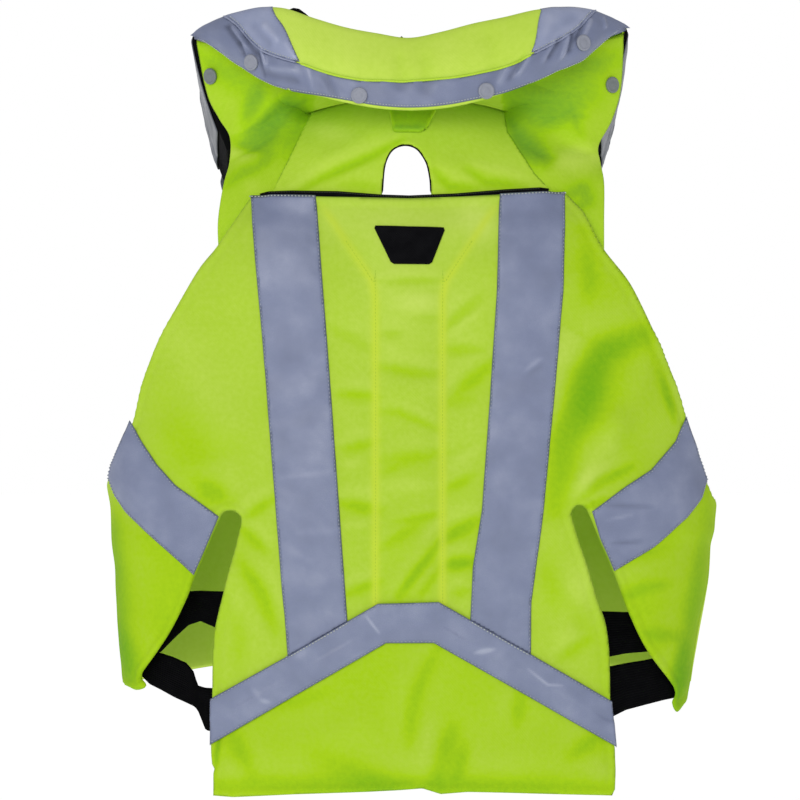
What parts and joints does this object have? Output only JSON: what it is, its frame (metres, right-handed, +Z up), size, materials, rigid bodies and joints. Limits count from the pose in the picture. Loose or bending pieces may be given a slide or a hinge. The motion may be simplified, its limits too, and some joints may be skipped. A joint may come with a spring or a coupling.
{
  "type": "airbag vest",
  "caption": "Sleeveless rider's airbag vest in fluorescent cloth, shown as worn, with a padded stand-up collar, reflective tapes, rear side slits and elastic straps.",
  "frame": {"origin": "between the two shoulders, at the height where the shoulder ends rest on the wearer", "axes": "+Z up, -Y out of the back, +X to the wearer's right"},
  "size_m": [0.5152, 0.2279, 0.6706],
  "materials": {
    "fluorescent_cloth": "matt woven fluorescent yellow-green polyester",
    "reflective_tape": "silver grey retroreflective tape with a soft sheen",
    "black_cloth": "matt black cloth",
    "black_elastic": "ribbed black elastic webbing",
    "grey_plastic": "satin grey plastic snap caps"
  },
  "bodies": {
    "root": {"back_shell": "fluorescent_cloth", "tail_panel": "fluorescent_cloth", "yoke": "fluorescent_cloth", "shoulder_left": "fluorescent_cloth", "shoulder_right": "fluorescent_cloth", "front_left": "fluorescent_cloth", "front_right": "fluorescent_cloth", "collar_rear": "fluorescent_cloth", "collar_front_left": "fluorescent_cloth", "collar_front_right": "fluorescent_cloth", "collar_flap": "fluorescent_cloth", "collar_tab": "fluorescent_cloth", "collar_band": "reflective_tape", "collar_patch_left": "reflective_tape", "collar_patch_right": "reflective_tape", "collar_strip_left": "reflective_tape", "collar_strip_right": "reflective_tape", "back_tape_left": "reflective_tape", "back_tape_right": "reflective_tape", "chevron_tape": "reflective_tape", "side_tape_left": "reflective_tape", "side_tape_right": "reflective_tape", "arch_binding": "black_cloth", "pocket_zip": "black_cloth", "collar_lining": "black_cloth", "front_lining_left": "black_cloth", "front_lining_right": "black_cloth", "label_patch": "black_cloth", "front_zip": "black_cloth", "snap_1": "grey_plastic", "snap_2": "grey_plastic", "snap_3": "grey_plastic", "snap_4": "grey_plastic", "snap_left": "grey_plastic", "snap_right": "grey_plastic", "strap_upper_left": "black_elastic", "strap_upper_right": "black_elastic", "strap_lower_left": "black_elastic", "strap_lower_right": "black_elastic"}
  },
  "joints": []
}
